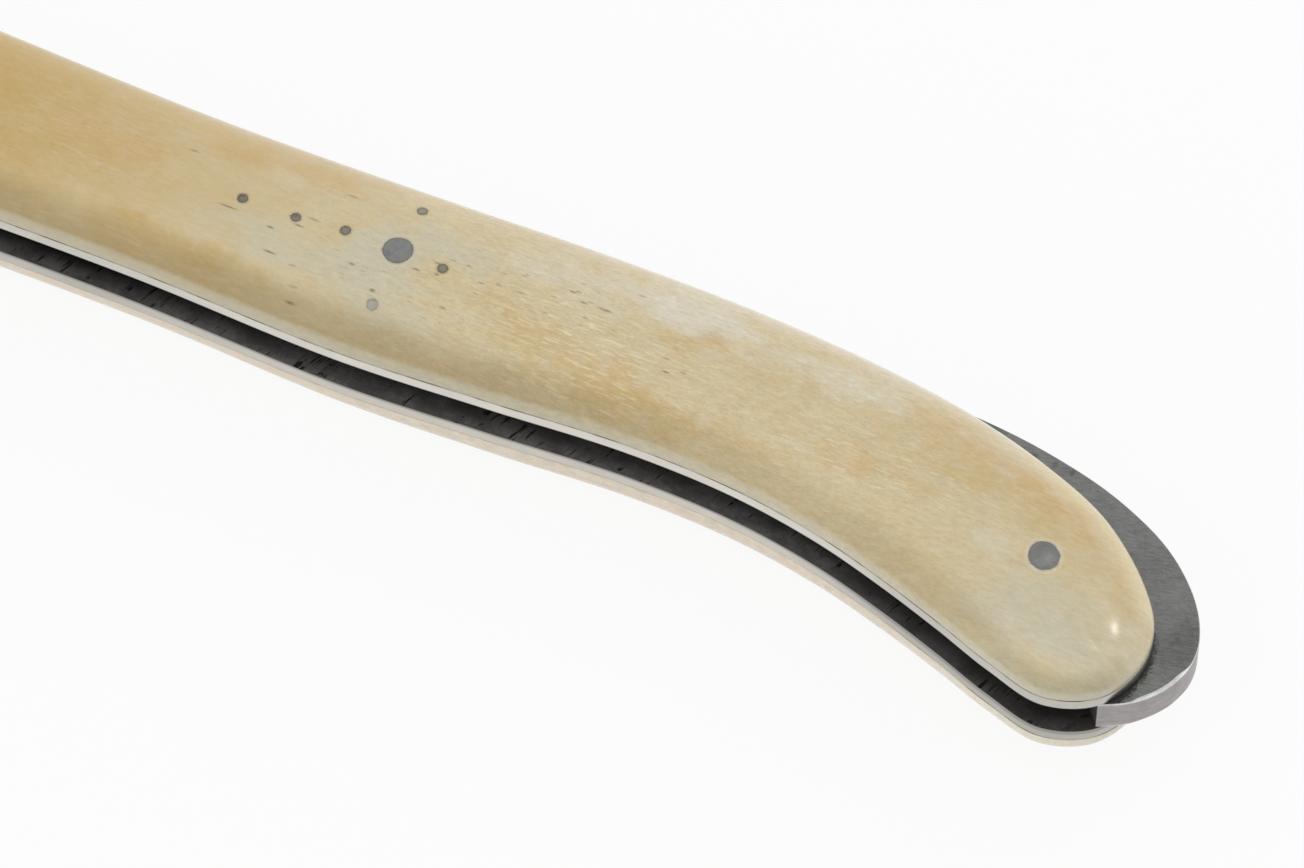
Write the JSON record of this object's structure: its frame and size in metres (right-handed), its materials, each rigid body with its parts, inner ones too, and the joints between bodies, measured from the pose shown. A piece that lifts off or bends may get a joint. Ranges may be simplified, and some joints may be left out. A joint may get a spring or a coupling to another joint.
{
  "type": "folding pocket knife",
  "caption": "Slim folding pocket knife with bone scales, steel liners, back spring with a crescent tail and a long pointed blade, shown open.",
  "frame": {"origin": "under the middle of the open knife, on the surface that it lies on", "axes": "+X from the blade tip to the butt, +Y towards the back of the handle, +Z out of the scale with the pinned cross"},
  "size_m": [0.222, 0.0222, 0.0136],
  "materials": {
    "bone": "polished bone",
    "liner_steel": "bright steel",
    "spring_steel": "satin steel",
    "blade_steel": "satin steel",
    "pin_steel": "polished flush"
  },
  "bodies": {
    "handle": {"scale_upper": "bone", "scale_lower": "bone", "liner_upper": "liner_steel", "liner_lower": "liner_steel", "pivot_pin": "pin_steel", "centre_pin": "pin_steel", "rear_pin": "pin_steel", "cross_pin_1": "pin_steel", "cross_pin_2": "pin_steel", "cross_pin_3": "pin_steel", "cross_pin_4": "pin_steel", "cross_pin_5": "pin_steel", "cross_pin_6": "pin_steel"},
    "blade": {"blade": "blade_steel"},
    "spring": {"back_spring": "spring_steel"}
  },
  "joints": [
    {"name": "blade_pivot", "type": "hinge", "parent": "handle", "child": "blade", "pos_m": [-0.00445, 0.00135, 0.0068], "axis": [0, 0, 1], "range_deg": [0, 175.5]},
    {"name": "spring_flex", "type": "hinge", "parent": "handle", "child": "spring", "pos_m": [0.09895, -0.0022, 0.0068], "axis": [0, 0, -1], "range_deg": [0, 0.5], "stiffness_Nm_per_rad": 5}
  ]
}
